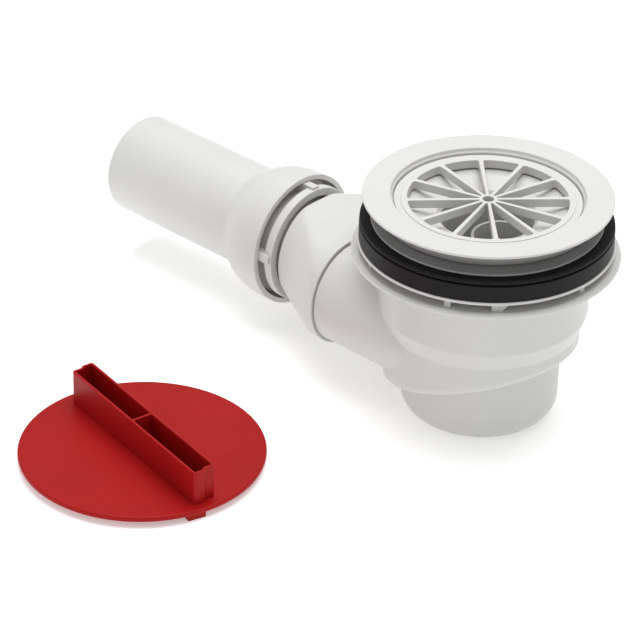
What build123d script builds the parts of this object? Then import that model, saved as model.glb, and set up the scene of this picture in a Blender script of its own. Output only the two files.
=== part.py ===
from build123d import *
import os
from math import cos, isclose, radians, sin, sqrt, tan

# Shower trap for a 90 mm tray hole, with a ball-jointed 50 mm outlet and its loose site cover.
# Millimetres. The origin is the centre of the trap's flat foot, +Z is up, the outlet points along -X.
# Distances along the outlet are counted from the trap axis, distances "from the ball" from its centre.

# Play between separate pieces
slip = 0.3              # pieces that screw, drop or slide into each other
snug = 0.15             # push-on joint of the adapter
seal_play = 0.1         # round the insert's seal
ball_play = 0.3         # each side of the seal in the ball joint

# Collar and the rings clamped above it
collar_z = 82.9         # underside of the collar
collar_w = 16.4         # collar, seat and gaskets are counted outwards from the socket
collar_t = 1.6
collar_edge = 0.6
post_h = 4.1            # gap between the collar and the gasket's seat
post_t = 3.0
post_inset = 2.3
post_angles = (0, 67, 117, 180, 243, 293)
wide_post_t = 4.6
wide_post_ramp = 3.6    # a wide post spreads by this towards the seat, on its +X side
wide_post_angle = 44.5  # degrees, either side of +X
seat_w = 13.6
seat_t = 1.3
seat_edge = 0.4
tray_gasket_w = 12.6
tray_gasket_h = 10.7
tray_bead_h = 2.0       # rounded upper bead of the tray gasket
tray_bead_groove = 0.7
flange_gasket_h = 3.9
flange_gasket_flare = 2.0
flange_gasket_lip = 0.7
flange_w = 13.1         # flat face outside the grille's recess
flange_h = 8.5
flange_lip_t = 1.3      # thickness at the outer edge
flange_taper = 7.5      # the underside runs in by this below the edge
flange_edge = 0.6

# Screwed joint between flange and body
thread_r = 43.0         # bore of the body's socket
socket_wall = 3.0
socket_short = 1.1      # the socket stops this far below the top of the tray gasket
skirt_wall = 2.9
skirt_h = 18.5          # below the flange's underside
shelf_w = 2.0           # inward shelf of the skirt that carries the insert
shelf_h = 14.4

# Grille
grille_drop = 2.5       # the grille lies this far below the flange's face
grille_seat_w = 3.5     # its rim rests on this width outside the skirt's bore
grille_rim_t = 2.0
grille_step_w = 3.1
grille_step_h = 0.5
grille_ring_t = 2.3
grille_depth = 4.3
grille_turn = 16.0      # degrees, first spoke from +X
spoke_count = 12
spoke_hub_t = 1.5
spoke_rim_t = 2.2
pocket_corner = 1.2     # rounded outer corners of the openings
hub_r = 4.2
hub_hole_r = 2.6
recess_side = 0.6       # play round the grille's rim
recess_ledge = 0.6      # bevelled step of the recess, just above the grille
recess_flare = 1.0      # the recess is this much wider at the flange's face

# Lift-out insert with the dip tube
dip_r = 23.5
dip_wall = 1.8
dip_end_z = 12.0
insert_rim_h = 5.0
insert_rim_w = 2.4
insert_plate_t = 2.0
insert_plate_fall = 3.5     # the dished plate falls this much from rim to tube
seal_r = 1.2                # section of the insert's seal
grip_tube_r = 14.0
grip_tube_wall = 1.5
grip_tube_x = 8.7
grip_tube_drop = 5.3        # below the dip tube's mouth
grip_tube_h = 26.0

# Trap body
wall = 2.5
body_w = 2.9            # the drum is this much wider than the socket
waist_step = 3.1        # the drum narrows by this above the sloping floor
waist_top_z = 55.5
waist_low_z = 46.5
body_round = 2.0        # corners of the waist, and where the duct meets the drum
floor_z = 23.8          # underside of the sloping floor at the trap axis
floor_slope = 18.6      # degrees, falling towards the outlet
floor_edge = 5.0
cup_r = 35.0
cup_draft = 0.8         # the cup is this much narrower at its foot
cup_edge = 9.0
weir_z = 62.0           # the cup's wall rises inside the drum to this height

# Outlet duct of the body and the adapter pushed onto it
outlet_z = 42.5
duct_r = 25.2           # round sides of the flat-topped duct
duct_c = 20.0           # their centres, either side of the axis
seam_u = 65.5           # shoulder where the adapter butts
spigot_drop = 2.0       # the duct's spigot is this much lower all round
spigot_narrow = 1.5
spigot_len = 8.0
spigot_wall = 2.3
adapter_lip = 1.5       # the adapter stands this proud of the duct
adapter_draft = 0.5
adapter_wall = 2.3
cone_end_u = 105.3
cone_end_r = 27.8
cone_angle = 26.0       # degrees, half angle of the adapter's cone
neck_r = 22.0
neck_wall = 2.5
ball_reach = 23.7       # from the cone's end to the ball's centre
ball_r = 26.0
ball_wall = 2.7
ball_end_t = 1.4        # rim of the ball's open end

# Ball seal, retaining ring and outlet pipe
ball_seal_t = 1.4
ball_seal_front = 3.0   # from the ball towards the trap
ball_seal_back = 9.0    # from the ball towards the pipe
ring_w = 1.6            # the ring is this much wider than the seal
ring_gap = 3.5          # between the adapter's cone and the ring
ring_back = 7.0         # back face of the ring, from the ball towards the trap
ring_lip_w = 1.8        # the ring's bore is this much narrower than its seat
ring_lip_len = 2.5
ring_mouth_w = 0.8
lug_count = 4
lug_turn = 5.0          # degrees, first lug from straight up
lug_w = 4.4
lug_len = 10.0
lug_set_back = 1.0
hook_h = 0.8
hook_len = 2.6
hook_play = 0.2
bell_front = 13.0       # bell's rim, from the ball towards the trap
bell_lip = 2.3          # the bell's mouth stands this far out from the ring
bell_wall = 2.0
bell_edge = 0.6
bell_waist = 3.0        # from the ball towards the trap
bell_waist_in = 1.4
shoulder_u = 9.5        # from the ball towards the pipe
shoulder_in = 3.7
bell_back = 22.0
pipe_r = 25.0
pipe_wall = 2.0
pipe_len = 76.0         # straight part behind the bell
pipe_edge = 0.8

# Site cover, lying beside the trap
cover_x = -79.2
cover_y = -144.8
cover_turn = -14.4      # degrees, direction of its grip
cover_r = 57.3
cover_t = 2.5
cover_edge = 0.9
cover_foot_r = 51.0
cover_foot_l = 4.0
cover_foot_w = 9.0
cover_foot_h = 3.0
cover_feet = 4
grip_l = 102.0
grip_w = 10.0
grip_h = 14.0
grip_wall = 1.3
grip_fold = 1.4         # one half of each end wall stands out by this

# What follows from the sizes above
collar_top = collar_z + collar_t
seat_z = collar_top + post_h
seat_top = seat_z + seat_t
tray_gasket_top = seat_top + tray_gasket_h
flange_z = tray_gasket_top + flange_gasket_h
flange_top = flange_z + flange_h
grille_top = flange_top - grille_drop
recess_z = grille_top - grille_rim_t
socket_r = thread_r + socket_wall
socket_top = tray_gasket_top - socket_short
body_r = socket_r + body_w
skirt_r = thread_r - slip
skirt_bore = skirt_r - skirt_wall
skirt_end_z = flange_z - skirt_h
shelf_bore = skirt_bore - shelf_w
shelf_z = skirt_end_z + shelf_h
grille_rim_r = skirt_bore + grille_seat_w
grille_ring_r = skirt_bore - slip
recess_r = grille_rim_r + recess_side
mouth_r = recess_r + recess_flare
flange_r = mouth_r + flange_w
flange_foot_r = flange_r - flange_taper
insert_top = shelf_z + insert_rim_h
spigot_r = duct_r - spigot_drop
spigot_c = duct_c - spigot_narrow
ball_u = cone_end_u + ball_reach
ring_front = ball_reach - ring_gap
pipe_end_u = ball_u + bell_back + pipe_len
ball_seat_r = ball_r + ball_play
ball_seal_r = ball_seat_r + ball_seal_t
ring_r = ball_seal_r + ring_w
bell_mouth_r = ring_r + bell_lip
bell_r = bell_mouth_r + bell_wall
cover_top = cover_foot_h + cover_t


def turned(*corners):
    """Solid of revolution about the trap axis from (radius, height) corners."""
    points = [(radius, 0, height) for radius, height in corners]
    return revolve(make_face(Polyline(*points, close=True)), Axis.Z)


def tube(outer, inner, low, high):
    """Plain ring about the trap axis."""
    return turned((inner, low), (outer, low), (outer, high), (inner, high))


def rod(radius, low, high):
    """Plain cylinder about the trap axis."""
    return extrude(Pos(0, 0, low) * Circle(radius), high - low)


def standing_box(length, width, height):
    """Box on the ground, centred on the trap axis."""
    return extrude(Rectangle(length, width), height)


def across_outlet(section, start, end):
    """A section square to the outlet, carried from one distance to another along +X."""
    return extrude(Plane.YZ.offset(start) * section, end - start)


def duct_section(centre, radius):
    """Flat-topped section with round sides."""
    return SlotCenterToCenter(2 * centre, 2 * radius)


def outlet_turned(edges):
    """Solid of revolution about the outlet axis from edges in (distance, radius)."""
    return revolve(make_face(edges), Axis.X)


def chain(*points):
    """Straight edges from point to point."""
    return [Line(start, end) for start, end in zip(points, points[1:])]


def place_outlet(shape):
    """Turns a shape made along +X to the outlet's side and height."""
    return Pos(0, 0, outlet_z) * Rot(0, 0, 180) * shape


def other_leg(slant, leg):
    """Remaining leg of a right triangle, as the radius of a sphere at a distance from its centre."""
    return sqrt(slant * slant - leg * leg)


def ball_point(radius, distance):
    """Point on a sphere about the ball's centre, at a distance towards the pipe."""
    return (ball_u + distance, other_leg(radius, distance))


def ball_arc(radius, first, last):
    """Arc on a sphere about the ball's centre between two distances towards the pipe."""
    middle = (first + last) / 2
    return ThreePointArc(ball_point(radius, first), ball_point(radius, middle), ball_point(radius, last))


def ring_edges(shape, radius, height):
    """Level round edges of a shape, by their radius and height."""
    rings = shape.edges().filter_by(GeomType.CIRCLE)
    return rings.filter_by(lambda ring: isclose(ring.radius, radius) and isclose(ring.arc_center.Z, height))


def below_floor(rise):
    """Everything under the sloping floor, raised by a height."""
    size = 4 * (body_r + seam_u)
    block = Pos(0, 0, -size) * standing_box(size, size, size)
    return Pos(0, 0, floor_z + rise) * Rot(0, -floor_slope, 0) * block


def drum(inset, rise):
    """The chamber's form, waisted and cut off along its sloping floor."""
    narrow = body_r - waist_step - inset
    wide = body_r - inset
    whole = turned(
        (0, 0),
        (narrow, 0),
        (narrow, waist_low_z),
        (wide, waist_top_z),
        (wide, collar_z),
        (0, collar_z),
    )
    return whole - below_floor(rise)


def cup(inset, top):
    """The cup's form."""
    radius = cup_r - inset
    return turned((0, inset), (radius - cup_draft, inset), (radius, top), (0, top))


def duct(inset, rise, end):
    """The outlet duct's form, kept above the sloping floor."""
    bar = across_outlet(duct_section(duct_c, duct_r - inset), 0, end)
    return place_outlet(bar) - below_floor(rise)


def bevelled_plate(radius, low, high, edge):
    """Plain cylinder about the trap axis with both rims bevelled."""
    plate = rod(radius, low, high)
    return chamfer(plate.edges().filter_by(GeomType.CIRCLE), edge)


def make_posts():
    """Short posts between collar and seat: plain ones, and a wide one with a ramp on each side."""
    length = seat_w - post_inset + socket_wall / 2
    start = socket_r + seat_w - post_inset - length
    plain = Pos(start + length / 2, 0, collar_top) * standing_box(length, post_t, post_h)
    posts = [Rot(0, 0, angle) * plain for angle in post_angles]
    half = wide_post_t / 2
    for side in (1, -1):
        ramp_end = -half - wide_post_ramp
        outline = chain(
            (-side * half, 0),
            (side * half, 0),
            (side * half, post_h),
            (side * ramp_end, post_h),
            (-side * half, 0),
        )
        wide = extrude(Plane.YZ.offset(start) * make_face(outline), length, dir=(1, 0, 0))
        posts.append(Rot(0, 0, side * wide_post_angle) * Pos(0, 0, collar_top) * wide)
    return posts


def make_trap_body():
    """Drum, cup, outlet duct, collar, posts, seat and threaded socket, moulded in one piece."""
    chamber = drum(0, 0)
    low_edge = chamber.edges().filter_by(GeomType.ELLIPSE).sort_by(Axis.Z)[0]
    chamber = fillet(low_edge, floor_edge)
    branch = duct(0, 0, seam_u)
    body = chamber + branch
    corners = new_edges(chamber, branch, combined=body)
    corners += ring_edges(body, body_r, waist_top_z) + ring_edges(body, body_r - waist_step, waist_low_z)
    bowl = cup(0, waist_top_z)
    body = fillet(corners, body_round) + fillet(bowl.edges().sort_by(Axis.Z)[0], cup_edge)
    body += bevelled_plate(socket_r + collar_w, collar_z, collar_top, collar_edge)
    spigot = across_outlet(duct_section(spigot_c, spigot_r), seam_u - wall, seam_u + spigot_len)
    body += place_outlet(spigot)
    body += rod(socket_r, collar_z, socket_top)
    body += bevelled_plate(socket_r + seat_w, seat_z, seat_top, seat_edge)
    for post in make_posts():
        body += post
    rise = wall / cos(radians(floor_slope))
    room = drum(wall, rise) + duct(wall, rise, seam_u - wall)
    room -= rod(cup_r, 0, weir_z)
    water_way = duct_section(spigot_c, spigot_r - spigot_wall)
    room += place_outlet(across_outlet(water_way, cup_r + wall, seam_u + 2 * spigot_len))
    bowl_room = cup(wall, weir_z)
    room += chamfer(bowl_room.edges().sort_by(Axis.Z)[0], cup_edge - wall)
    room += rod(thread_r, collar_z - wall, flange_top)
    return body - room


def make_tray_gasket():
    """Thick ring under the tray, with a rounded bead round its upper edge."""
    bore = socket_r + slip
    outer = bore + tray_gasket_w
    bead_z = tray_gasket_top - tray_bead_h
    return turned(
        (bore, seat_top),
        (outer, seat_top),
        (outer, bead_z - tray_bead_groove),
        (outer - tray_bead_groove, bead_z),
        (outer - tray_bead_groove / 4, bead_z + tray_bead_h / 3),
        (outer - tray_bead_groove / 2, tray_gasket_top - tray_bead_h / 4),
        (outer - 2 * tray_bead_groove, tray_gasket_top),
        (bore, tray_gasket_top),
    )


def make_flange_gasket():
    """Flared ring between the flange and the tray."""
    bore = socket_r + slip
    foot = flange_foot_r + flange_gasket_flare
    return turned(
        (bore, tray_gasket_top),
        (foot, tray_gasket_top),
        (foot, tray_gasket_top + flange_gasket_lip),
        (flange_foot_r, flange_z - flange_gasket_lip),
        (flange_foot_r, flange_z),
        (bore, flange_z),
    )


def make_top_flange():
    """Visible flange with a tapered underside, the grille's recess and the screwed skirt."""
    ledge_z = grille_top + recess_ledge / 2
    flange = turned(
        (skirt_bore, recess_z),
        (recess_r, recess_z),
        (recess_r, ledge_z),
        (recess_r + recess_ledge, ledge_z + recess_ledge),
        (mouth_r, flange_top),
        (flange_r, flange_top),
        (flange_r, flange_top - flange_lip_t),
        (flange_foot_r, flange_z),
        (skirt_r, flange_z),
        (skirt_r, skirt_end_z),
        (shelf_bore, skirt_end_z),
        (shelf_bore, shelf_z),
        (skirt_bore, shelf_z),
    )
    rim = flange.edges().filter_by(GeomType.CIRCLE).sort_by(Axis.Z)[-2:]
    return fillet(rim, flange_edge)


def beside_spoke(radius, width):
    """Corner of an opening at a radius, half a spoke's width off that spoke's middle line."""
    half_pitch = radians(180 / spoke_count)
    along = other_leg(radius, width / 2)
    across = width / 2
    x = along * cos(half_pitch) + across * sin(half_pitch)
    y = along * sin(half_pitch) - across * cos(half_pitch)
    return x, y


def grille_pocket(open_r):
    """Plan of one opening about +X, between two spokes that widen towards the rim."""
    hub_x, hub_y = beside_spoke(hub_r, spoke_hub_t)
    rim_x, rim_y = beside_spoke(open_r, spoke_rim_t)
    outline = chain((hub_x, hub_y), (rim_x, rim_y)) + chain((rim_x, -rim_y), (hub_x, -hub_y))
    outline.append(ThreePointArc((rim_x, rim_y), (open_r, 0), (rim_x, -rim_y)))
    outline.append(ThreePointArc((hub_x, hub_y), (hub_r, 0), (hub_x, -hub_y)))
    plan = make_face(outline)
    return fillet(plan.vertices().sort_by(Axis.X)[-2:], pocket_corner)


def make_grille():
    """Spoked disc that drops into the flange's recess."""
    foot_z = grille_top - grille_depth
    step_r = grille_rim_r - grille_step_w
    grille = turned(
        (hub_hole_r, foot_z),
        (grille_ring_r, foot_z),
        (grille_ring_r, recess_z),
        (grille_rim_r, recess_z),
        (grille_rim_r, grille_top - grille_step_h),
        (step_r, grille_top - grille_step_h),
        (step_r, grille_top),
        (hub_hole_r, grille_top),
    )
    pocket = extrude(Pos(0, 0, foot_z) * grille_pocket(grille_ring_r - grille_ring_t), grille_depth)
    pitch = 360 / spoke_count
    for number in range(spoke_count):
        grille -= Rot(0, 0, grille_turn + (number + 1 / 2) * pitch) * pocket
    return grille


def make_dip_tube():
    """Lift-out insert: grooved rim, dished plate, dip tube and a short grip tube inside it."""
    rim_r = skirt_bore - slip
    groove_r = skirt_bore - 2 * seal_play - 2 * seal_r
    groove_z = shelf_z + insert_rim_h / 2
    groove_half = seal_r + seal_play
    bore = dip_r - dip_wall
    mouth_z = insert_top - insert_plate_fall
    insert = turned(
        (bore, dip_end_z),
        (dip_r, dip_end_z),
        (dip_r, mouth_z - insert_plate_t),
        (shelf_bore, shelf_z),
        (rim_r, shelf_z),
        (rim_r, groove_z - groove_half),
        (groove_r, groove_z - groove_half),
        (groove_r, groove_z + groove_half),
        (rim_r, groove_z + groove_half),
        (rim_r, insert_top),
        (rim_r - insert_rim_w, insert_top),
        (dip_r, mouth_z),
        (bore, mouth_z - dip_wall),
    )
    grip_top = mouth_z - dip_wall - grip_tube_drop
    grip = tube(grip_tube_r, grip_tube_r - grip_tube_wall, grip_top - grip_tube_h, grip_top)
    inside = rod(dip_r - dip_wall / 2, dip_end_z, insert_top)
    return insert + (Pos(grip_tube_x, 0, 0) * grip & inside)


def make_insert_seal():
    """Round rubber ring in the groove of the insert's rim."""
    return Pos(0, 0, shelf_z + insert_rim_h / 2) * Torus(skirt_bore - seal_play - seal_r, seal_r)


def cone(radius, start, end):
    """Cone of the adapter from its radius at the small end, between two distances."""
    slope = tan(radians(cone_angle))
    start_r = radius + (cone_end_u - start) * slope
    end_r = radius + (cone_end_u - end) * slope
    return outlet_turned(chain((start, 0), (start, start_r), (end, end_r), (end, 0), (start, 0)))


def make_outlet_adapter():
    """Piece that goes from the flat duct to the round neck and ends in the hollow ball."""
    seam_r = duct_r + adapter_lip
    sections = [
        Plane.YZ.offset(seam_u) * duct_section(duct_c, seam_r),
        Plane.YZ.offset(cone_end_u) * duct_section(duct_c, seam_r - adapter_draft),
    ]
    form = loft(sections, ruled=True) & cone(cone_end_r, seam_u, cone_end_u)
    room_end = cone_end_u - adapter_wall
    room_section = duct_section(duct_c, seam_r - adapter_draft - adapter_wall)
    room = across_outlet(room_section, seam_u + spigot_len, room_end)
    room &= cone(cone_end_r - adapter_wall, seam_u, room_end)
    room += across_outlet(duct_section(spigot_c, spigot_r + snug), seam_u, seam_u + spigot_len)
    bore = neck_r - neck_wall
    room += across_outlet(Circle(bore), room_end - adapter_wall, cone_end_u)
    neck_d = other_leg(ball_r, neck_r)
    hollow_r = ball_r - ball_wall
    hollow_d = other_leg(hollow_r, bore)
    end_d = other_leg(ball_r, bore + ball_end_t)
    profile = chain(
        (ball_u - hollow_d, bore),
        (room_end, bore),
        (room_end, neck_r),
        (ball_u - neck_d, neck_r),
    )
    profile.append(ball_arc(ball_r, -neck_d, end_d))
    profile += chain(ball_point(ball_r, end_d), (ball_u + end_d, bore), (ball_u + hollow_d, bore))
    profile.append(ball_arc(hollow_r, hollow_d, -hollow_d))
    return place_outlet(form - room + outlet_turned(profile))


def make_ball_seal():
    """Rubber zone between ball and bell, concentric with the ball."""
    front, back = -ball_seal_front, ball_seal_back
    profile = [ball_arc(ball_seat_r, front, back), ball_arc(ball_seal_r, front, back)]
    for distance in (front, back):
        profile.append(Line(ball_point(ball_seat_r, distance), ball_point(ball_seal_r, distance)))
    return place_outlet(outlet_turned(profile))


def make_retaining_ring():
    """Ring that holds the ball in the bell, hooked into the bell's mouth by its lugs."""
    seat_start = ball_point(ball_seat_r, -ring_back)
    bore = ball_seat_r - ring_lip_w
    seat_end_d = other_leg(ball_seat_r, bore)
    lip_u = ball_u - seat_end_d - ring_lip_len
    front_u = ball_u - ring_front
    back_u = ball_u - ring_back
    profile = chain(
        seat_start,
        (back_u, ring_r),
        (front_u, ring_r),
        (front_u, bore + ring_mouth_w),
        (lip_u, bore),
        (ball_u - seat_end_d, bore),
    )
    profile.append(ball_arc(ball_seat_r, -seat_end_d, -ring_back))
    ring = outlet_turned(profile)
    lug_end = back_u - lug_set_back
    lug_r = bell_mouth_r - slip
    tread = across_outlet(Circle(lug_r), lug_end - lug_len, lug_end)
    tread += across_outlet(Circle(lug_r + hook_h), lug_end - hook_len, lug_end)
    tread -= across_outlet(Circle(ring_r - wall / 2), front_u, back_u)
    for number in range(lug_count):
        bar = Pos(front_u, 0, ring_r) * extrude(Plane.YZ * Rectangle(lug_w, 4 * bell_lip), ring_front)
        ring += tread & (Rot(lug_turn + number * 360 / lug_count, 0, 0) * bar)
    return place_outlet(ring)


def make_outlet_pipe():
    """Outlet pipe with the bell that closes over the ball and hooks the ring."""
    cavity_r = ball_seal_r + ball_play
    bore = pipe_r - pipe_wall
    cavity_end = other_leg(cavity_r, bore)
    stop_d = ring_back - slip
    rim_u = ball_u - bell_front
    groove_end = ball_u - stop_d
    groove_start = ball_u - ring_back - lug_set_back - hook_len - slip
    groove_r = bell_mouth_r - slip + hook_h + hook_play
    profile = chain(
        ball_point(cavity_r, -stop_d),
        (groove_end, groove_r),
        (groove_start, groove_r),
        (groove_start, bell_mouth_r),
        (rim_u, bell_mouth_r),
        (rim_u, bell_r - bell_edge),
        (rim_u + bell_edge, bell_r),
    )
    profile.append(
        Spline(
            (rim_u + bell_edge, bell_r),
            (ball_u - bell_waist, bell_r - bell_waist_in),
            (ball_u + shoulder_u, bell_r - shoulder_in),
            (ball_u + bell_back, pipe_r),
        )
    )
    profile += chain(
        (ball_u + bell_back, pipe_r),
        (pipe_end_u - pipe_edge, pipe_r),
        (pipe_end_u, pipe_r - pipe_edge),
        (pipe_end_u, bore),
        (ball_u + cavity_end, bore),
    )
    profile.append(ball_arc(cavity_r, cavity_end, -stop_d))
    return place_outlet(outlet_turned(profile))


def grip_half_plan(inset):
    """Plan of the grip's +X half, with one half of its end wall folded outwards."""
    end = grip_l / 2 - inset
    side = grip_w / 2 - inset
    start = inset / 2
    outline = chain(
        (start, -side),
        (end, -side),
        (end, 0),
        (end - grip_fold, 0),
        (end - grip_fold, side),
        (start, side),
        (start, -side),
    )
    return make_face(outline)


def make_site_cover():
    """Disc on small feet with a hollow grip across it, open at the top and divided in the middle."""
    disc = turned(
        (0, cover_foot_h),
        (cover_r - cover_edge, cover_foot_h),
        (cover_r, cover_foot_h + cover_edge),
        (cover_r, cover_top - cover_edge),
        (cover_r - cover_edge, cover_top),
        (0, cover_top),
    )
    foot = Pos(cover_foot_r, 0, 0) * standing_box(cover_foot_l, cover_foot_w, cover_foot_h)
    for number in range(cover_feet):
        disc += Rot(0, 0, number * 360 / cover_feet) * foot
    for turn in (0, 180):
        half = extrude(grip_half_plan(0), grip_h) - extrude(grip_half_plan(grip_wall), grip_h)
        disc += Rot(0, 0, turn) * Pos(0, 0, cover_top) * half
    return Pos(cover_x, cover_y, 0) * Rot(0, 0, cover_turn) * disc


nodes = {
    "trap_body": make_trap_body(),
    "tray_gasket": make_tray_gasket(),
    "flange_gasket": make_flange_gasket(),
    "top_flange": make_top_flange(),
    "grille": make_grille(),
    "dip_tube": make_dip_tube(),
    "insert_seal": make_insert_seal(),
    "outlet_adapter": make_outlet_adapter(),
    "ball_seal": make_ball_seal(),
    "retaining_ring": make_retaining_ring(),
    "outlet_pipe": make_outlet_pipe(),
    "site_cover": make_site_cover(),
}

os.makedirs("parts", exist_ok=True)
for name, shape in nodes.items():
    export_step(shape, f"parts/{name}.step")
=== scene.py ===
import bmesh
import bpy
import numpy as np
from mathutils import Matrix, Vector


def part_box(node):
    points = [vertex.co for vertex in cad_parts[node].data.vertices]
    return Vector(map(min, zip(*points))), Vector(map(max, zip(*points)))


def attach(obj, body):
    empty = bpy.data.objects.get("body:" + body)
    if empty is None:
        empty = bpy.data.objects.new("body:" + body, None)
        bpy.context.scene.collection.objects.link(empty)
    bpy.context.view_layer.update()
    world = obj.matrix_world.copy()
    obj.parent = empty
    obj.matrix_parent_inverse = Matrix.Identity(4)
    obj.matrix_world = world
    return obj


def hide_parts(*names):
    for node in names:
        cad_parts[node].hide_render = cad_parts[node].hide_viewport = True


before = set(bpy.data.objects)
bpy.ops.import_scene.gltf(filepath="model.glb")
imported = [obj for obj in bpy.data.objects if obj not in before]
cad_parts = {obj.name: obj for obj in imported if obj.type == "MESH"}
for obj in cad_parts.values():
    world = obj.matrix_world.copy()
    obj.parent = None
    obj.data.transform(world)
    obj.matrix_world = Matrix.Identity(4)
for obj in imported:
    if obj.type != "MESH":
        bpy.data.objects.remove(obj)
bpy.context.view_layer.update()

# Trap body: drum, water cup and flat duct, with the collar and the gasket's seat on top.
# White polypropylene, injection moulded in one piece with the satin face of an etched tool.
# Its solid has the moulded corners already, so only the material is made here.
white_colour = (0.58, 0.58, 0.56)
white_roughness = 0.42
white_shine = 0.4
white_mottle = 0.012
white_grain = 0.00002
tint_noise = (35, 3)
tint_span = (0.3, 0.7)
gloss_noise = (160, 4)
gloss_spread = 0.07
grain_noise = (1600, 2)
grain_strength = 0.5


def moulded(name, colour, roughness, shine, mottle, grain):
    """Moulded surface: slow noise tints it, a finer one varies its gloss, the finest is its grain."""
    material = bpy.data.materials.new(name)
    material.use_nodes = True
    nodes = material.node_tree.nodes
    link = material.node_tree.links.new
    shader = nodes["Principled BSDF"]
    shader.inputs["Specular IOR Level"].default_value = shine
    place = nodes.new("ShaderNodeTexCoord")

    def noise(scale, detail):
        cloud = nodes.new("ShaderNodeTexNoise")
        cloud.inputs["Scale"].default_value = scale
        cloud.inputs["Detail"].default_value = detail
        link(place.outputs["Object"], cloud.inputs["Vector"])
        return cloud.outputs[0]

    tint = nodes.new("ShaderNodeValToRGB")
    low, high = tint.color_ramp.elements
    low.position, high.position = tint_span
    low.color = (*(np.array(colour) * (1 - mottle)), 1)
    high.color = (*(np.array(colour) * (1 + mottle)), 1)
    link(noise(*tint_noise), tint.inputs["Fac"])
    link(tint.outputs["Color"], shader.inputs["Base Color"])
    gloss = nodes.new("ShaderNodeMapRange")
    gloss.inputs["To Min"].default_value = roughness - gloss_spread
    gloss.inputs["To Max"].default_value = roughness + gloss_spread
    link(noise(*gloss_noise), gloss.inputs["Value"])
    link(gloss.outputs["Result"], shader.inputs["Roughness"])
    bump = nodes.new("ShaderNodeBump")
    bump.inputs["Strength"].default_value = grain_strength
    bump.inputs["Distance"].default_value = grain
    link(noise(*grain_noise), bump.inputs["Height"])
    link(bump.outputs["Normal"], shader.inputs["Normal"])
    return material


def coat(piece, material):
    """Gives a piece its one material."""
    piece.data.materials.clear()
    piece.data.materials.append(material)


white = moulded("white_plastic", white_colour, white_roughness, white_shine, white_mottle, white_grain)
coat(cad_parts["trap_body"], white)

# Lift-out insert: dished plate with a grooved rim, the dip tube and a short grip tube inside it.
# White polypropylene like the body, a plain moulding that drops onto the shelf in the flange.
MM = 0.001
insert_edge = 0.4
dip_wall = 1.8
dip_root = 1.5
plate_t = 2.0
plate_fall = 3.5
rim_w = 2.4
rim_h = 5.0
rim_taper_r = 37.8
seal_groove_w = 2.6
seal_groove_d = 2.3
dip_r = 23.5
grip_tube_r = 14.0
grip_tube_wall = 1.5
grip_tube_x = 8.7
grip_tube_drop = 7.1
grip_tube_h = 26.0
insert_sides = 160
grip_tube_sides = 96
upright = np.eye(3)


def extent(node):
    """Lowest and highest corner of a solid in millimetres."""
    return np.array(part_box(node)) / MM


def rounded(corners, radii, steps=6):
    """Closed outline whose corners are arcs.

    An arc touches both sides of its corner at the radius divided by the tangent of half the angle
    between them, and its points turn evenly from the first touching radius to the second.
    """
    corners = np.array(corners, float)
    radii = np.broadcast_to(np.array(radii, float), len(corners))[:, None]
    before = np.roll(corners, 1, axis=0) - corners
    after = np.roll(corners, -1, axis=0) - corners
    before /= np.linalg.norm(before, axis=1, keepdims=True)
    after /= np.linalg.norm(after, axis=1, keepdims=True)
    half = np.arccos((before * after).sum(axis=1, keepdims=True)) / 2
    inward = before + after
    inward /= np.linalg.norm(inward, axis=1, keepdims=True)
    first = before / np.tan(half) - inward / np.sin(half)
    last = after / np.tan(half) - inward / np.sin(half)
    swing = np.pi - 2 * half
    share = np.linspace(0, 1, steps + 1)
    from_first = (np.sin((1 - share) * swing) / np.sin(swing))[..., None]
    from_last = (np.sin(share * swing) / np.sin(swing))[..., None]
    radial = from_first * first[:, None] + from_last * last[:, None]
    centre = corners + inward * radii / np.sin(half)
    return (centre[:, None] + radii[:, None] * radial).reshape(-1, 2)


def turned(outline, angles, origin=(0, 0, 0), axes=upright):
    """Grid of an outline carried round an axis: each point keeps its radius and its height."""
    around = np.cos(angles)[:, None] * axes[0] + np.sin(angles)[:, None] * axes[1]
    radius, height = outline.T[..., None, None]
    return np.array(origin) + radius * around + height * axes[2]


def whole_turn(count):
    """Even angles of a whole turn."""
    return np.linspace(0, 2 * np.pi, count, endpoint=False)


def solid(name, *grids):
    """Mesh of point grids in millimetres that close along their columns.

    Every four neighbours make two triangles, points in one place become one point, and each
    point's normal is the sum of its triangles' normals weighed by their areas.
    """
    points = np.concatenate([grid.reshape(-1, 3) for grid in grids])
    numbers = np.split(np.arange(len(points)), np.cumsum([grid[..., 0].size for grid in grids])[:-1])
    quads = []
    for number, grid in zip(numbers, grids):
        number = number.reshape(grid.shape[:2])
        number = np.hstack((number, number[:, :1]))
        corners = (number[:-1, :-1], number[1:, :-1], number[1:, 1:], number[:-1, 1:])
        quads.append(np.stack(corners, axis=-1).reshape(-1, 4))
    _, kept, same = np.unique(np.round(points, 4), axis=0, return_index=True, return_inverse=True)
    faces = same.reshape(-1)[np.concatenate(quads)[:, [0, 1, 2, 0, 2, 3]]].reshape(-1, 3)
    faces = faces[(faces != np.roll(faces, 1, axis=1)).all(axis=1)]
    mesh = bpy.data.meshes.new(name)
    mesh.from_pydata(points[kept] * MM, [], faces)
    outward = bmesh.new()
    outward.from_mesh(mesh)
    bmesh.ops.recalc_face_normals(outward, faces=outward.faces)
    outward.to_mesh(mesh)
    outward.free()
    mesh.loops.foreach_get("vertex_index", faces.reshape(-1))
    first, second, third = (points[kept] * MM)[faces.T]
    facing = np.cross(second - first, third - first)
    normals = np.zeros((len(kept), 3))
    np.add.at(normals, faces.reshape(-1), np.repeat(facing, 3, axis=0))
    normals /= np.linalg.norm(normals, axis=1, keepdims=True)
    mesh.shade_smooth()
    mesh.normals_split_custom_set_from_vertices(normals)
    piece = bpy.data.objects.new(name, mesh)
    bpy.context.scene.collection.objects.link(piece)
    return piece


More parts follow.
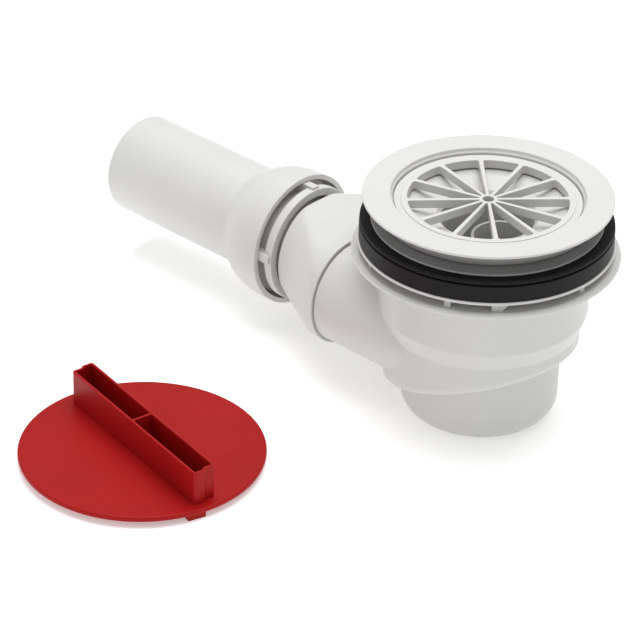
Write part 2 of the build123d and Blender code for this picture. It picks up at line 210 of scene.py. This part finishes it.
def closed(outline):
    """The outline with its first point again at the end."""
    return np.vstack((outline, outline[:1]))


insert_low, insert_high = extent("dip_tube")
rim_r = insert_high[0]
insert_top = insert_high[2]
rim_low = insert_top - rim_h
groove_low = insert_top - (rim_h + seal_groove_w) / 2
dip_bore = dip_r - dip_wall
mouth_z = insert_top - plate_fall
insert_corners = (
    (dip_bore, insert_low[2]),
    (dip_r, insert_low[2]),
    (dip_r, mouth_z - plate_t),
    (rim_taper_r, rim_low),
    (rim_r, rim_low),
    (rim_r, groove_low),
    (rim_r - seal_groove_d, groove_low),
    (rim_r - seal_groove_d, groove_low + seal_groove_w),
    (rim_r, groove_low + seal_groove_w),
    (rim_r, insert_top),
    (rim_r - rim_w, insert_top),
    (dip_r, mouth_z),
    (dip_bore, mouth_z - dip_wall),
)
insert_radii = np.full(len(insert_corners), insert_edge)
insert_radii[2] = dip_root
insert_section = closed(rounded(insert_corners, insert_radii))
grip_top = mouth_z - grip_tube_drop
grip_low = grip_top - grip_tube_h
grip_bore = grip_tube_r - grip_tube_wall
grip_corners = (
    (grip_bore, grip_low),
    (grip_tube_r, grip_low),
    (grip_tube_r, grip_top),
    (grip_bore, grip_top),
)
grip_section = closed(rounded(grip_corners, insert_edge))
insert = solid(
    "lift_out_insert",
    turned(insert_section, whole_turn(insert_sides)),
    turned(grip_section, whole_turn(grip_tube_sides), (grip_tube_x, 0, 0)),
)
coat(insert, white)
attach(insert, "trap")
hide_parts("dip_tube")

# Water cup: outer face of the body's cup below the drum, a little wider than its solid.
# White polypropylene, one moulding with the body; it is fitted over the solid's own cup wall.
cup_r = 37.5
cup_draft = 0.5
cup_round = 10.0
cup_top_z = 37.0
cup_inner_r = 33.4
cup_inner_z = 9.5
cup_lap_r = 25.4
cup_lap = 1.0
cup_round_steps = 16
round_sides = 192
cup_corners = (
    (cup_lap_r - cup_lap, cup_lap),
    (cup_lap_r, 0),
    (cup_r - cup_draft, 0),
    (cup_r, cup_top_z),
    (cup_inner_r, cup_top_z),
    (cup_inner_r, cup_inner_z),
)
cup_section = closed(rounded(cup_corners, (0, 0, cup_round, 0, 0, 0), cup_round_steps))
cup = solid("water_cup", turned(cup_section, whole_turn(round_sides)))
coat(cup, white)
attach(cup, "trap")

# Rubber seals inside: a round ring in the insert's groove and the zone round the outlet's ball.
# Black moulded rubber, matt and a little dusty, pushed into place. Their solids are kept as they are.
black_colour = (0.0065, 0.0065, 0.0063)
black_roughness = 0.55
black_shine = 0.17
black_mottle = 0.15
black_grain = 0.00005
black = moulded("black_rubber", black_colour, black_roughness, black_shine, black_mottle, black_grain)
coat(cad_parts["insert_seal"], black)
coat(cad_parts["ball_seal"], black)

# Tray gasket: thick ring that lies on the body's seat under the tray, with a bead round its top.
# Black moulded rubber; the mould left a soft lower edge and a groove under the bead.
tray_bore = 46.3
tray_bead_h = 2.2
tray_groove_w = 1.2
tray_groove = 1.5
tray_bead_in = 0.15
tray_low, tray_high = extent("tray_gasket")
tray_r = tray_high[0]
bead_z = tray_high[2] - tray_bead_h
tray_corners = (
    (tray_bore, tray_low[2]),
    (tray_r, tray_low[2]),
    (tray_r, bead_z - tray_groove_w / 2),
    (tray_r - tray_groove, bead_z),
    (tray_r - tray_bead_in, bead_z + tray_groove_w / 2),
    (tray_r - tray_bead_in, tray_high[2]),
    (tray_bore, tray_high[2]),
)
tray_radii = (0.3, 0.5, 0.25, 0.05, 0.25, 1.0, 0.3)
tray_section = closed(rounded(tray_corners, tray_radii))
tray_ring = solid("tray_gasket_ring", turned(tray_section, whole_turn(round_sides)))
coat(tray_ring, black)
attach(tray_ring, "trap")
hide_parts("tray_gasket")

# Flange gasket: ring between flange and tray, a cone under the flange's edge and a flared lip below.
# Grey moulded rubber, smoother and softer than the black one, with a painted highlight along its lip's
# lower edge.
grey_colour = (0.20, 0.20, 0.196)
grey_roughness = 0.45
grey_shine = 0.3
grey_mottle = 0.08
grey_grain = 0.00003
lip_h = 0.7
lip_reach = 1.3
flare_in = 2.0
flare_groove = 1.2
flare_groove_w = 0.9
# Painted highlight on the lip: how much brighter the grey gets, and between which shares of the lip's
# height.
lip_highlight_gain = 2.4
highlight_start = 1.5
highlight_end = 0.8
flange_lip_t = 1.3
flange_tuck = 0.4
grey_low, grey_high = extent("flange_gasket")
flange_low, flange_high = extent("top_flange")
foot_r = grey_high[0] + lip_reach
throat_r = grey_high[0] - flare_in
throat_z = grey_high[2]
under_lip_r = flange_high[0] - flange_tuck
under_lip_z = flange_high[2] - flange_lip_t
grey_corners = (
    (tray_bore, grey_low[2]),
    (foot_r, grey_low[2]),
    (foot_r, grey_low[2] + lip_h),
    (throat_r, throat_z - flare_groove_w),
    (throat_r - flare_groove, throat_z - flare_groove_w / 2),
    (throat_r, throat_z),
    (under_lip_r, under_lip_z),
    (tray_bore, under_lip_z),
)
grey_radii = (0.3, 0.2, 0.3, 0.3, 0.1, 0.2, 0.2, 0.1)
grey_section = closed(rounded(grey_corners, grey_radii))
grey_ring = solid("flange_gasket_ring", turned(grey_section, whole_turn(round_sides)))


def paint_lip_highlight(material, start, end):
    """Makes a material paler below a height: a painted highlight on the lip's edge, fully bright at the end
    height.
    """
    nodes = material.node_tree.nodes
    link = material.node_tree.links.new
    shader = nodes["Principled BSDF"]
    tint = shader.inputs["Base Color"].links[0].from_socket
    height = nodes.new("ShaderNodeSeparateXYZ")
    link(nodes["Texture Coordinate"].outputs["Object"], height.inputs["Vector"])
    # Painted highlight: brightness ramps up towards the lip's lower edge.
    highlight_ramp = nodes.new("ShaderNodeMapRange")
    highlight_ramp.inputs["From Min"].default_value = start * MM
    highlight_ramp.inputs["From Max"].default_value = end * MM
    highlight_ramp.inputs["To Min"].default_value = 1.0
    highlight_ramp.inputs["To Max"].default_value = lip_highlight_gain
    link(height.outputs["Z"], highlight_ramp.inputs["Value"])
    highlighted = nodes.new("ShaderNodeVectorMath")
    highlighted.operation = "SCALE"
    link(tint, highlighted.inputs[0])
    link(highlight_ramp.outputs["Result"], highlighted.inputs["Scale"])
    link(highlighted.outputs["Vector"], shader.inputs["Base Color"])


grey = moulded("grey_rubber", grey_colour, grey_roughness, grey_shine, grey_mottle, grey_grain)
# Painted highlight: the grey is made brighter along the lip's lower edge, where light catches it.
paint_lip_highlight(grey, grey_low[2] + highlight_start * lip_h, grey_low[2] + highlight_end * lip_h)
coat(grey_ring, grey)
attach(grey_ring, "trap")
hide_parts("flange_gasket")

# Top flange: the visible ring in the tray with a thin edge, the grille's recess and a screwed skirt.
# White polypropylene, moulded; it is screwed down into the body's socket.
flange_face_w = 13.1
flange_h = 8.5
recess_w = 4.1
recess_h = 4.5
recess_ledge_z = 2.2
recess_ledge = 0.6
recess_flare = 1.0
skirt_r = 42.7
skirt_bore = 39.8
shelf_w = 2.0
shelf_h = 14.4
flange_sides = 224
flange_r = flange_high[0]
flange_top = flange_high[2]
mouth_r = flange_r - flange_face_w
recess_z = flange_top - recess_h
ledge_z = flange_top - recess_ledge_z
flange_corners = (
    (skirt_bore, recess_z),
    (skirt_bore + recess_w, recess_z),
    (skirt_bore + recess_w, ledge_z),
    (mouth_r - recess_flare + recess_ledge, ledge_z + recess_ledge),
    (mouth_r, flange_top),
    (flange_r, flange_top),
    (flange_r, under_lip_z),
    (tray_bore, under_lip_z),
    (tray_bore, flange_top - flange_h),
    (skirt_r, flange_top - flange_h),
    (skirt_r, flange_low[2]),
    (skirt_bore - shelf_w, flange_low[2]),
    (skirt_bore - shelf_w, flange_low[2] + shelf_h),
    (skirt_bore, flange_low[2] + shelf_h),
)
flange_radii = (0.2, 0.2, 0.15, 0.2, 0.6, 0.6, 0.4, 0.1, 0.3, 0.4, 0.4, 0.4, 0.3, 0.3)
flange_section = closed(rounded(flange_corners, flange_radii))
flange = solid("clamping_flange", turned(flange_section, whole_turn(flange_sides)))
coat(flange, white)
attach(flange, "trap")
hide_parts("top_flange")

# Grille: spoked disc that drops into the flange's recess, with a finger hole in its hub.
# White polypropylene, moulded in one piece; every opening's edge is softly rounded.
spoke_count = 12
grille_turn = np.radians(16.0)
spoke_hub_t = 1.5
spoke_rim_t = 2.2
pocket_corner = 1.2
pocket_edge = 0.35
hub_r = 4.2
hub_hole_r = 2.6
hub_seam = 0.8
rim_seam = 1.0
grille_open_r = 37.2
grille_ring_r = 39.5
grille_rim_t = 2.0
grille_step_w = 3.1
grille_step_h = 0.5
half_pitch = np.pi / spoke_count
pocket_turns = grille_turn + half_pitch * (2 * np.arange(spoke_count) + 1)
seam_in = hub_r - hub_seam
seam_out = grille_open_r + rim_seam
rim_radii = (0, 0.3, 0.2, 0.3, 0.4, 0.15, 0.25, 0)
hub_radii = (0, 0.4, 0.4, 0)
grille_low, grille_high = extent("grille")
quarter = np.linspace(0, np.pi / 2, 5)
grille_foot = grille_low[2]
grille_top = grille_high[2]
grille_rim_r = grille_high[0]


def on_circle(radius, angle):
    """Points at a radius and an angle, one row each."""
    return np.stack((radius * np.cos(angle), radius * np.sin(angle)), axis=-1)


def beside_spoke(radius, width):
    """Corner of an opening at a radius, half a spoke's width off that spoke's middle line."""
    return on_circle(radius, half_pitch - np.arcsin(width / 2 / radius))


def pocket_lines(steps=10):
    """Half of an opening's edge, the way into the opening there, and the matching line around it.

    The edge goes round the hub, out along a spoke, round the corner's arc and along the rim. The
    corner's centre lies its radius off the spoke and off the rim. The line around follows the hub's
    seam circle, the spoke's middle line and the rim's seam circle, corner to corner.
    """
    hub_corner = beside_spoke(hub_r, spoke_hub_t)
    rim_corner = beside_spoke(grille_open_r, spoke_rim_t)
    along = (rim_corner - hub_corner) / np.linalg.norm(rim_corner - hub_corner)
    across = np.array((along[1], -along[0]))
    start = hub_corner + pocket_corner * across
    reach = start @ along
    corner_r = grille_open_r - pocket_corner
    centre = start + along * (np.sqrt(reach**2 - start @ start + corner_r**2) - reach)
    leave = centre - pocket_corner * across
    join = centre * grille_open_r / corner_r
    share = np.linspace(0, 1, steps)
    hub_angle = share * np.arctan2(hub_corner[1], hub_corner[0])
    rim_angle = (1 - share) * np.arctan2(join[1], join[0])
    sweep = np.linspace(np.arctan2(-across[1], -across[0]), rim_angle[0], steps)
    edge = (
        on_circle(hub_r, hub_angle),
        hub_corner + share[:, None] * (leave - hub_corner),
        centre + on_circle(pocket_corner, sweep),
        on_circle(grille_open_r, rim_angle),
    )
    inward = (
        on_circle(1, hub_angle),
        np.tile(across, (steps, 1)),
        -on_circle(1, sweep),
        -on_circle(1, rim_angle),
    )
    leave_r = np.linalg.norm(leave)
    bend_r = np.minimum(leave_r + 2 * share * (seam_out - leave_r), seam_out)
    bend_angle = half_pitch - np.maximum(2 * share - 1, 0) * (half_pitch - rim_angle[0])
    around = (
        on_circle(seam_in, share * half_pitch),
        on_circle(seam_in + share * (leave_r - seam_in), half_pitch),
        on_circle(bend_r, bend_angle),
        on_circle(seam_out, rim_angle),
    )
    return np.concatenate(edge), np.concatenate(inward), np.concatenate(around)


def both_halves(line):
    """A half line followed by its mirror image on the way back."""
    return np.vstack((line, line[::-1] * (1, -1)))


def pocket_grid(turn):
    """Web round one opening: from the line around it, over both rounded edges and back to that line."""
    edge, inward, around = (both_halves(line) for line in pocket_lines())
    inset = pocket_edge * np.concatenate((1 - np.sin(quarter), 1 - np.cos(quarter)))
    low_z = grille_foot + pocket_edge * (1 - np.cos(quarter))
    high_z = grille_top - pocket_edge * (1 - np.sin(quarter))
    wall = edge - inset[:, None, None] * inward
    plan = np.concatenate((around[None], wall, around[None]))
    height = np.concatenate(((grille_foot,), low_z, high_z, (grille_top,)))
    grid = np.dstack((plan, np.broadcast_to(height[:, None], plan.shape[:2])))
    spin = np.array(((np.cos(turn), np.sin(turn), 0), (-np.sin(turn), np.cos(turn), 0), (0, 0, 1)))
    return grid @ spin


def seam_angles(radius):
    """Angles of all the webs' points on a seam circle, in order round the whole grille."""
    around = both_halves(pocket_lines()[2])
    on_seam = np.isclose(np.hypot(*around.T), radius)
    angle = np.unique(np.round(np.arctan2(*around[on_seam].T[::-1]), 9))[:-1]
    return (pocket_turns[:, None] + angle).reshape(-1)


step_r = grille_rim_r - grille_step_w
rim_under = grille_top - grille_rim_t
rim_corners = (
    (seam_out, grille_foot),
    (grille_ring_r, grille_foot),
    (grille_ring_r, rim_under),
    (grille_rim_r, rim_under),
    (grille_rim_r, grille_top - grille_step_h),
    (step_r, grille_top - grille_step_h),
    (step_r, grille_top),
    (seam_out, grille_top),
)
rim_section = rounded(rim_corners, rim_radii)
hub_corners = (
    (seam_in, grille_top),
    (hub_hole_r, grille_top),
    (hub_hole_r, grille_foot),
    (seam_in, grille_foot),
)
hub_section = rounded(hub_corners, hub_radii)
grille = solid(
    "spoked_grille",
    *(pocket_grid(turn) for turn in pocket_turns),
    turned(rim_section, seam_angles(seam_out)),
    turned(hub_section, seam_angles(seam_in)),
)
coat(grille, white)
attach(grille, "trap")
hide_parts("grille")

# Outlet adapter: goes from the flat duct to a round neck and ends in the hollow ball of the joint.
# White polypropylene, moulded; pushed onto the duct's spigot until only a fine slit is left at the seam.
outlet_z = 42.5
duct_c = 20.0
seam_u = 65.5
seam_r = 26.7
seam_edge = 0.25
seam_slit = 0.8
adapter_draft = 0.5
adapter_wall = 2.3
cone_end_u = 105.3
cone_end_r = 27.8
cone_slope = np.tan(np.radians(26.0))
cone_blend = 1.2
spigot_len = 8.0
spigot_c = 18.5
spigot_hole_r = 23.35
neck_r = 22.0
neck_root = 0.8
neck_bore = 19.5
ball_u = 129.0
ball_r = 26.0
hollow_r = 23.3
ball_end_r = 20.9
bore_edge = 0.3
room_edge = 0.1
outlet_sides = 240
shell_rows = 60
ball_count = 28
hollow_count = 20
room_rows = 24
never_level = 1e-6
outlet_place = (0, 0, outlet_z)
outlet_axes = np.array(((0, 0, 1), (0, 1, 0), (-1, 0, 0)))
outlet_turn = whole_turn(outlet_sides)


def flat_sided(centre, radius):
    """Distance from the axis to a slot outline: flat above and below, round about two side centres."""
    up = np.maximum(np.abs(np.cos(outlet_turn)), never_level)
    aside = np.abs(np.sin(outlet_turn))
    flat = radius / up
    side = centre * aside + np.sqrt(radius**2 - (centre * up) ** 2)
    return np.where(flat * aside < centre, flat, side)


def cone_shell(distance, thickness):
    """Adapter's surface at distances along the outlet: the smaller of slot and cone, softly joined.

    The soft smaller value of two lengths is half their sum less the root of their squared
    difference and a squared blend.
    """
    share = (distance - seam_u) / (cone_end_u - seam_u)
    slot = np.stack([flat_sided(duct_c, r) for r in seam_r - adapter_draft * share - thickness])
    cone = (cone_end_r - thickness + (cone_end_u - distance) * cone_slope)[:, None]
    return (slot + cone - np.sqrt((slot - cone) ** 2 + cone_blend**2)) / 2


def ring_rows(*points):
    """Rows of one distance and one radius each, the same all round."""
    distance, radius = np.array(points).T
    return distance, np.repeat(radius[:, None], len(outlet_turn), axis=1)


def ball_rows(radius, first, last, count):
    """Rows on the ball between two distances from its centre."""
    distance = np.linspace(first, last, count)
    return ring_rows(*zip(ball_u + distance, np.sqrt(radius**2 - distance**2)))


lip_u = seam_u + seam_slit
shell_u = np.linspace(lip_u + seam_edge, cone_end_u - seam_edge, shell_rows)
shell_r = cone_shell(shell_u, 0)
seam_rows = lip_u + seam_edge * (1 - np.cos(quarter))
seam_shell = shell_r[0] - seam_edge * (1 - np.sin(quarter))[:, None]
end_rows = cone_end_u - seam_edge * (1 - np.sin(quarter))
end_shell = shell_r[-1] - seam_edge * (1 - np.cos(quarter))[:, None]
root_u = cone_end_u + neck_root * (1 - np.cos(quarter))
root_r = neck_r + neck_root * (1 - np.sin(quarter))
neck_d = np.sqrt(ball_r**2 - neck_r**2)
end_d = np.sqrt(ball_r**2 - ball_end_r**2)
hollow_d = np.sqrt(hollow_r**2 - neck_bore**2)
room_end = cone_end_u - adapter_wall
room_start = seam_u + spigot_len
room_u = np.linspace(room_end - room_edge, room_start, room_rows)
spigot_hole = flat_sided(spigot_c, spigot_hole_r)
adapter_rows = (
    (seam_rows, seam_shell),
    (shell_u[1:-1], shell_r[1:-1]),
    (end_rows, end_shell),
    ring_rows(*zip(root_u, root_r)),
    ball_rows(ball_r, -neck_d, end_d, ball_count),
    ring_rows((ball_u + end_d, neck_bore + bore_edge), (ball_u + end_d - bore_edge, neck_bore)),
    ball_rows(hollow_r, hollow_d, -hollow_d, hollow_count),
    ring_rows((room_end + bore_edge, neck_bore), (room_end, neck_bore + bore_edge)),
    (np.full(1, room_end), cone_shell(np.full(1, room_end), adapter_wall) - room_edge),
    (room_u, cone_shell(room_u, adapter_wall)),
    (np.array((room_start, lip_u + bore_edge)), np.stack((spigot_hole, spigot_hole))),
    (np.full(1, lip_u), spigot_hole[None] + bore_edge),
    (seam_rows[:1], seam_shell[:1]),
)
adapter_u = np.concatenate([rows[0] for rows in adapter_rows])[:, None, None]
adapter_r = np.concatenate([rows[1] for rows in adapter_rows])[..., None]
outlet_up, outlet_aside = np.cos(outlet_turn)[:, None], np.sin(outlet_turn)[:, None]
outlet_around = outlet_up * outlet_axes[0] + outlet_aside * outlet_axes[1]
adapter_grid = np.array(outlet_place) + adapter_r * outlet_around + adapter_u * outlet_axes[2]
adapter = solid("outlet_cone", adapter_grid)
coat(adapter, white)
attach(adapter, "trap")
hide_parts("outlet_adapter")

# Retaining ring: holds the ball in the pipe's bell, clipped in by four hooked lugs across its groove.
# White polypropylene, moulded in one piece; the groove lets the lugs give when the ring is pushed in.
ring_r = 29.3
ring_front_u = 108.8
ring_back_u = 122.0
ring_flange_w = 4.5
ring_groove = 3.7
ring_groove_end_u = 120.6
ring_bore = 24.5
ring_mouth_r = 25.3
ring_lip_u = (116.9, 119.4)
ring_seat_r = 25.35
ring_edge = 0.25
lug_count = 4
lug_turn = np.radians(5.0)
lug_w = 4.4
lug_u = (109.6, 121.0)
lug_r = 30.6
lug_edge = 0.3
hook_len = 2.6
hook_r = 32.1


def walled(path, section):
    """Wall along a closed plan: each section point keeps its distance off the path and its height."""
    ahead = np.roll(path, -1, axis=0) - np.roll(path, 1, axis=0)
    off = np.stack((ahead[:, 1], -ahead[:, 0]), axis=-1) / np.linalg.norm(ahead, axis=1, keepdims=True)
    plan = path + section[:, :1, None] * off
    return np.dstack((plan, np.broadcast_to(section[:, 1:], plan.shape[:2])))


def block(length, width, low, high, edge):
    """Upright block: its plan shrinks to the middle at both ends and is rounded at the top."""
    x = length / 2
    y = width / 2
    plan = rounded(((x, -y), (x, y), (-x, y), (-x, -y)), edge)
    foot = ((-edge, low), (0, low))
    rim = np.stack((edge * (np.cos(quarter) - 1), high + edge * (np.sin(quarter) - 1)), axis=-1)
    grid = walled(plan, np.vstack((foot, rim)))
    ends = np.zeros((1, len(plan), 2))
    bottom = np.dstack((ends, np.full((1, len(plan)), low)))
    top = np.dstack((ends, np.full((1, len(plan)), high)))
    return np.concatenate((bottom, grid, top))


def round_outlet(angle):
    """Directions along the outlet, round it and away from it at an angle from straight up."""
    away = np.cos(angle) * outlet_axes[0] + np.sin(angle) * outlet_axes[1]
    aside = np.cos(angle) * outlet_axes[1] - np.sin(angle) * outlet_axes[0]
    return np.stack((outlet_axes[2], aside, away))


groove_r = ring_r - ring_groove
ring_corners = (
    (ring_seat_r, ring_back_u),
    (ring_r, ring_back_u),
    (ring_r, ring_groove_end_u),
    (groove_r, ring_groove_end_u),
    (groove_r, ring_front_u + ring_flange_w),
    (ring_r, ring_front_u + ring_flange_w),
    (ring_r, ring_front_u),
    (ring_mouth_r, ring_front_u),
    (ring_bore, ring_lip_u[0]),
    (ring_bore, ring_lip_u[1]),
)
ring_section = closed(rounded(ring_corners, ring_edge))
lug_len = lug_u[1] - lug_u[0]
lug = block(lug_len, lug_w, groove_r - lug_edge, lug_r, lug_edge) + (lug_u[0] + lug_len / 2, 0, 0)
hook = block(hook_len, lug_w, ring_r, hook_r, lug_edge) + (lug_u[1] - hook_len / 2, 0, 0)
lug_grids = []
for angle in lug_turn + whole_turn(lug_count):
    lug_grids.append(lug @ round_outlet(angle) + outlet_place)
    lug_grids.append(hook @ round_outlet(angle) + outlet_place)
ring_grid = turned(ring_section, whole_turn(round_sides), outlet_place, outlet_axes)
ring = solid("hooked_ring", ring_grid, *lug_grids)
coat(ring, white)
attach(ring, "joint_ring")
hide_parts("retaining_ring")

# Outlet pipe: plain 50 mm pipe with a bell that closes over the ball.
# White polypropylene, moulded in one piece; the bell runs into the pipe in a soft shoulder.
pipe_r = 25.0
pipe_wall = 2.0
pipe_edge = 0.8
pipe_tip = 0.4
bell_u = 116.0
bell_r = 33.5
bell_wall = 2.7
bell_edge = 0.25
dome_u = 123.0
dome_blend = 0.4
hook_groove = (118.1, 122.3)
hook_groove_r = 32.3
cavity_r = 28.0
mouth_edge = 0.2
mouth_land = 0.1
dome_rows = 90
cavity_rows = 16
pipe_end_u = -extent("outlet_pipe")[0][0]
pipe_bore = pipe_r - pipe_wall
bell_mouth_r = bell_r - bell_wall
dome_end = np.sqrt(bell_r**2 - pipe_r**2) + bell_wall
outer_u = np.linspace(bell_u + bell_edge, dome_u + dome_end, dome_rows)
dome_r = np.sqrt(bell_r**2 - np.maximum(outer_u - dome_u, 0) ** 2)
outer_r = (dome_r + pipe_r + np.sqrt((dome_r - pipe_r) ** 2 + dome_blend**2)) / 2
outer_r = np.minimum(outer_r, bell_r)
rim_arc = bell_edge * np.stack((1 - np.cos(quarter), np.sin(quarter) - 1), axis=-1)
tip_arc = pipe_edge * np.stack((np.sin(quarter) - 1, np.cos(quarter) - 1), axis=-1)
cavity_end = np.sqrt(cavity_r**2 - pipe_bore**2)
cavity_start = hook_groove[1] - ball_u
cavity_d = np.linspace(cavity_end, cavity_start, cavity_rows)
cavity_arc = np.stack((ball_u + cavity_d, np.sqrt(cavity_r**2 - cavity_d**2)), axis=-1)
pipe_section = np.concatenate(
    (
        ((bell_u, bell_mouth_r + mouth_edge), (bell_u, bell_mouth_r + mouth_edge + mouth_land)),
        (bell_u, bell_r) + rim_arc,
        np.stack((outer_u, outer_r), axis=-1)[1:],
        (pipe_end_u, pipe_r) + tip_arc,
        ((pipe_end_u, pipe_bore + pipe_tip), (pipe_end_u - pipe_tip, pipe_bore)),
        cavity_arc,
        ((hook_groove[1], hook_groove_r), (hook_groove[0], hook_groove_r)),
        ((hook_groove[0], bell_mouth_r), (bell_u + mouth_edge, bell_mouth_r)),
        ((bell_u, bell_mouth_r + mouth_edge),),
    )
)
pipe_grid = turned(pipe_section[:, ::-1], whole_turn(round_sides), outlet_place, outlet_axes)
pipe = solid("belled_pipe", pipe_grid)
coat(pipe, white)
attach(pipe, "outlet")
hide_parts("outlet_pipe")

# Site cover: disc on four feet with a thin-walled grip across it, used while the floor is laid.
# Red moulded plastic with a satin face; it lies loose beside the trap.
red_colour = (0.335, 0.0055, 0.006)
red_roughness = 0.42
red_shine = 0.12
red_mottle = 0.05
red_grain = 0.00003
cover_place = (-79.2, -144.8, 0)
cover_turn = np.radians(-11.7)
cover_r = 57.3
cover_edge = 0.9
cover_low_z = 3.0
cover_top_z = 5.5
foot_place_r = (54.0, 51.0, 54.0, 51.0)
foot_turn = np.radians(-6.5)
foot_l = 4.0
foot_w = 9.0
foot_edge = 0.4
grip_l = 105.5
grip_w = 12.2
grip_high_z = 22.4
grip_wall = 1.3
grip_fold = 1.4
grip_edge = 0.4
grip_corner = 0.9
sunk = 0.6
cover_spin = np.array(
    (
        (np.cos(cover_turn), np.sin(cover_turn), 0),
        (-np.sin(cover_turn), np.cos(cover_turn), 0),
        (0, 0, 1),
    )
)
disc_corners = ((0, cover_low_z), (cover_r, cover_low_z), (cover_r, cover_top_z), (0, cover_top_z))
disc_section = rounded(disc_corners, (0, cover_edge, cover_edge, 0))
wall_x = (grip_l - grip_wall) / 2
wall_y = (grip_w - grip_wall) / 2
fold_y = grip_fold / 2
fold_x = wall_x - grip_fold
half_path = ((wall_x, -wall_y), (wall_x, -fold_y), (fold_x, fold_y), (fold_x, wall_y))
grip_path = rounded(np.vstack((half_path, -np.array(half_path))), grip_corner)
low_z = cover_top_z - sunk
wall_corners = (
    (-grip_wall / 2, low_z),
    (grip_wall / 2, low_z),
    (grip_wall / 2, grip_high_z),
    (-grip_wall / 2, grip_high_z),
)
wall_section = closed(rounded(wall_corners, (0, 0, grip_edge, grip_edge)))
foot_block = block(foot_l, foot_w, 0, cover_low_z + sunk, foot_edge)
feet = []
for place_r, angle in zip(foot_place_r, foot_turn + whole_turn(len(foot_place_r))):
    foot_spin = np.array(((np.cos(angle), np.sin(angle), 0), (-np.sin(angle), np.cos(angle), 0), (0, 0, 1)))
    feet.append((foot_block + (place_r, 0, 0)) @ foot_spin)
cover_grids = (
    turned(disc_section, whole_turn(round_sides)),
    walled(grip_path, wall_section),
    block(grip_wall, grip_w - grip_wall, low_z, grip_high_z, grip_edge),
    *feet,
)
cover = solid("loose_cover", *(grid @ cover_spin + cover_place for grid in cover_grids))
red = moulded("red_plastic", red_colour, red_roughness, red_shine, red_mottle, red_grain)
coat(cover, red)
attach(cover, "trap")
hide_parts("site_cover")

# Floor and light: a pale studio table that glows a little, as a sweep lit from below does.
# A large softbox hangs overhead, a weak one stands in front, and a bright room lights the rest.
floor_half = 3.0
floor_colour = (0.90, 0.90, 0.90)
floor_roughness = 0.9
floor_shine = 0.1
floor_mottle = 0.005
floor_grain = 0.00001
floor_glow = 0.33
key_place = (-0.15, 0.2, 1.5)
key_size = 1.4
key_power = 24.0
fill_place = (-0.7, -1.4, 0.6)
fill_size = 1.0
fill_power = 2.0
room_strength = 0.54
look_at = (-0.06, -0.04, 0.05)
floor_corners = np.array(((-1, -1, 0), (1, -1, 0), (1, 1, 0), (-1, 1, 0))) * floor_half
floor_mesh = bpy.data.meshes.new("floor")
floor_mesh.from_pydata(floor_corners, [], [(0, 1, 2, 3)])
floor = bpy.data.objects.new("floor", floor_mesh)
bpy.context.scene.collection.objects.link(floor)
pale = moulded("pale_floor", floor_colour, floor_roughness, floor_shine, floor_mottle, floor_grain)
pale_shader = pale.node_tree.nodes["Principled BSDF"]
pale_shader.inputs["Emission Color"].default_value = (1, 1, 1, 1)
pale_shader.inputs["Emission Strength"].default_value = floor_glow
floor_mesh.materials.append(pale)


def softbox(name, place, size, power):
    """Square area light that looks from its place at the trap."""
    lamp = bpy.data.lights.new(name, "AREA")
    lamp.size = size
    lamp.energy = power
    light = bpy.data.objects.new(name, lamp)
    bpy.context.scene.collection.objects.link(light)
    light.location = place
    light.rotation_euler = (Vector(look_at) - Vector(place)).to_track_quat("-Z", "Y").to_euler()


softbox("key", key_place, key_size, key_power)
softbox("fill", fill_place, fill_size, fill_power)
world = bpy.data.worlds.new("studio")
bpy.context.scene.world = world
world.use_nodes = True
room = world.node_tree.nodes["Background"]
room.inputs["Color"].default_value = (1, 1, 1, 1)
room.inputs["Strength"].default_value = room_strength

# Camera as in the photo: a long lens from the trap's front right, looking down at it.
camera_place = Vector((0.8292, -1.0176, 0.8342))
camera_right = Vector((0.72988, 0.68332, 0.01819))
camera_up = Vector((-0.36442, 0.36646, 0.85609))
camera_back = Vector((0.57833, -0.63148, 0.51650))
lens = bpy.data.cameras.new("photo_view")
lens.lens = 184.1
lens.sensor_width = 36.0
camera = bpy.data.objects.new("photo_view", lens)
bpy.context.scene.collection.objects.link(camera)
camera_turn = Matrix((camera_right, camera_up, camera_back)).transposed().to_4x4()
camera.matrix_world = Matrix.Translation(camera_place) @ camera_turn
bpy.context.scene.camera = camera
bpy.context.scene.view_settings.view_transform = "Standard"
